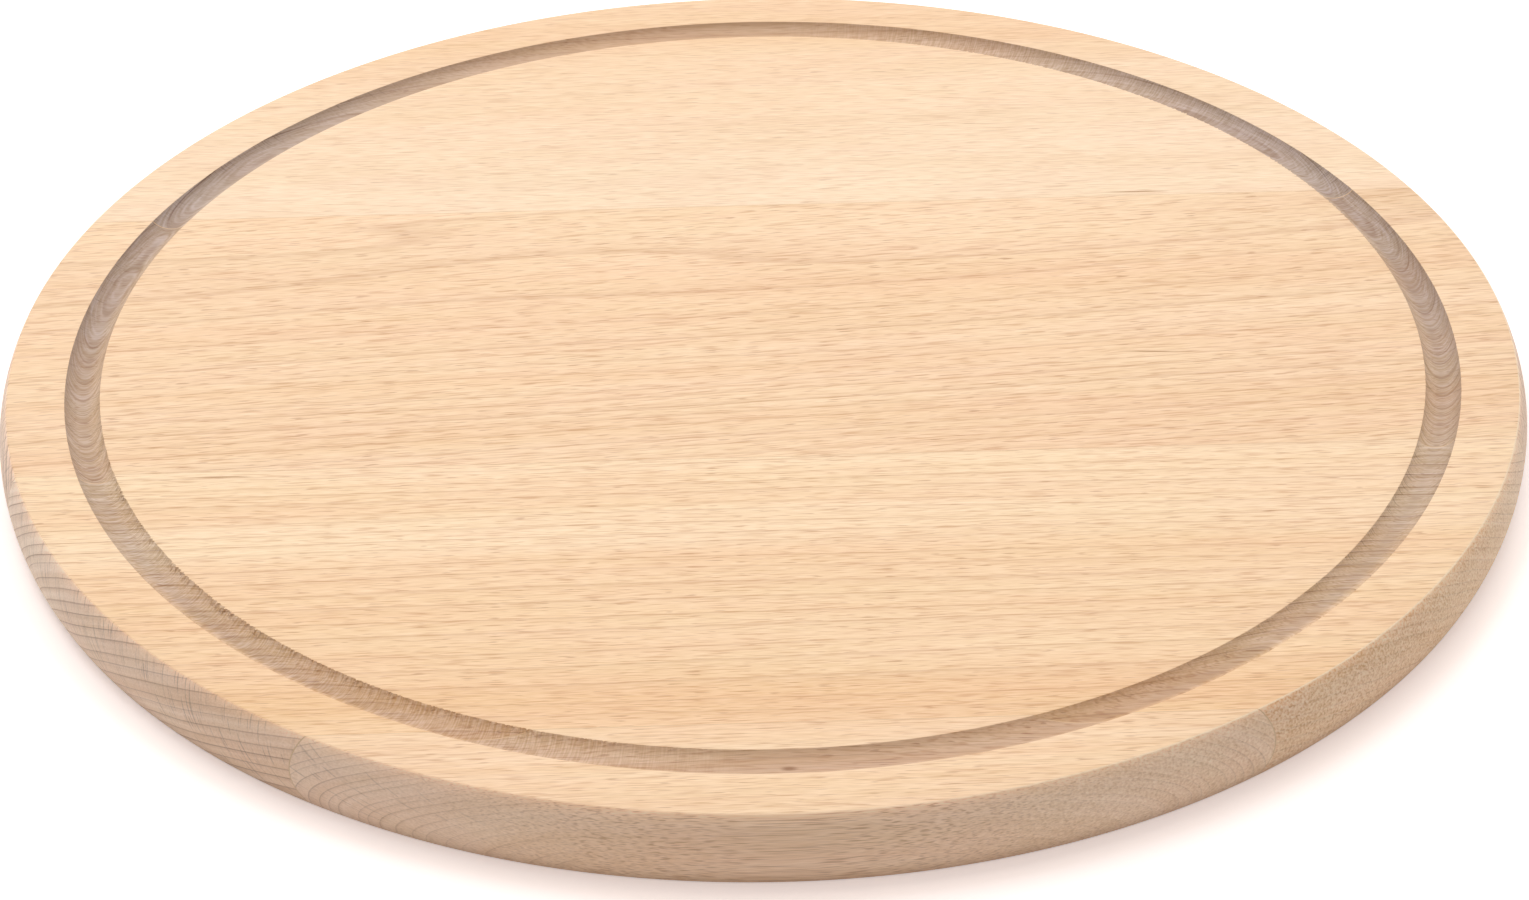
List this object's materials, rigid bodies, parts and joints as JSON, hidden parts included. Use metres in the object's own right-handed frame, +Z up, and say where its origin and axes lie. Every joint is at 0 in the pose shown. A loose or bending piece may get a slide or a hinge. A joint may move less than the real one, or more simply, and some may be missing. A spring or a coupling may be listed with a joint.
{
  "type": "round cutting board",
  "caption": "Round beech cutting board of edge-glued staves, with a bowed rim and a shallow juice groove around the top, for chopping and serving on a counter.",
  "frame": {"origin": "centre of the underside", "axes": "+X along the grain and the glue lines, +Y across the staves towards the rear stave, +Z up out of the work surface"},
  "size_m": [0.3, 0.3, 0.015],
  "materials": {
    "rear_stave_wood": "sanded beech, unstained",
    "middle_rear_stave_wood": "sanded beech, unstained",
    "middle_front_stave_wood": "sanded beech, unstained",
    "front_stave_wood": "sanded beech, unstained",
    "glue": "cured wood glue, sanded flush"
  },
  "bodies": {
    "root": {"rear_stave": "rear_stave_wood", "middle_rear_stave": "middle_rear_stave_wood", "middle_front_stave": "middle_front_stave_wood", "front_stave": "front_stave_wood", "rear_glue_line": "glue", "middle_glue_line": "glue", "front_glue_line": "glue"}
  },
  "joints": []
}
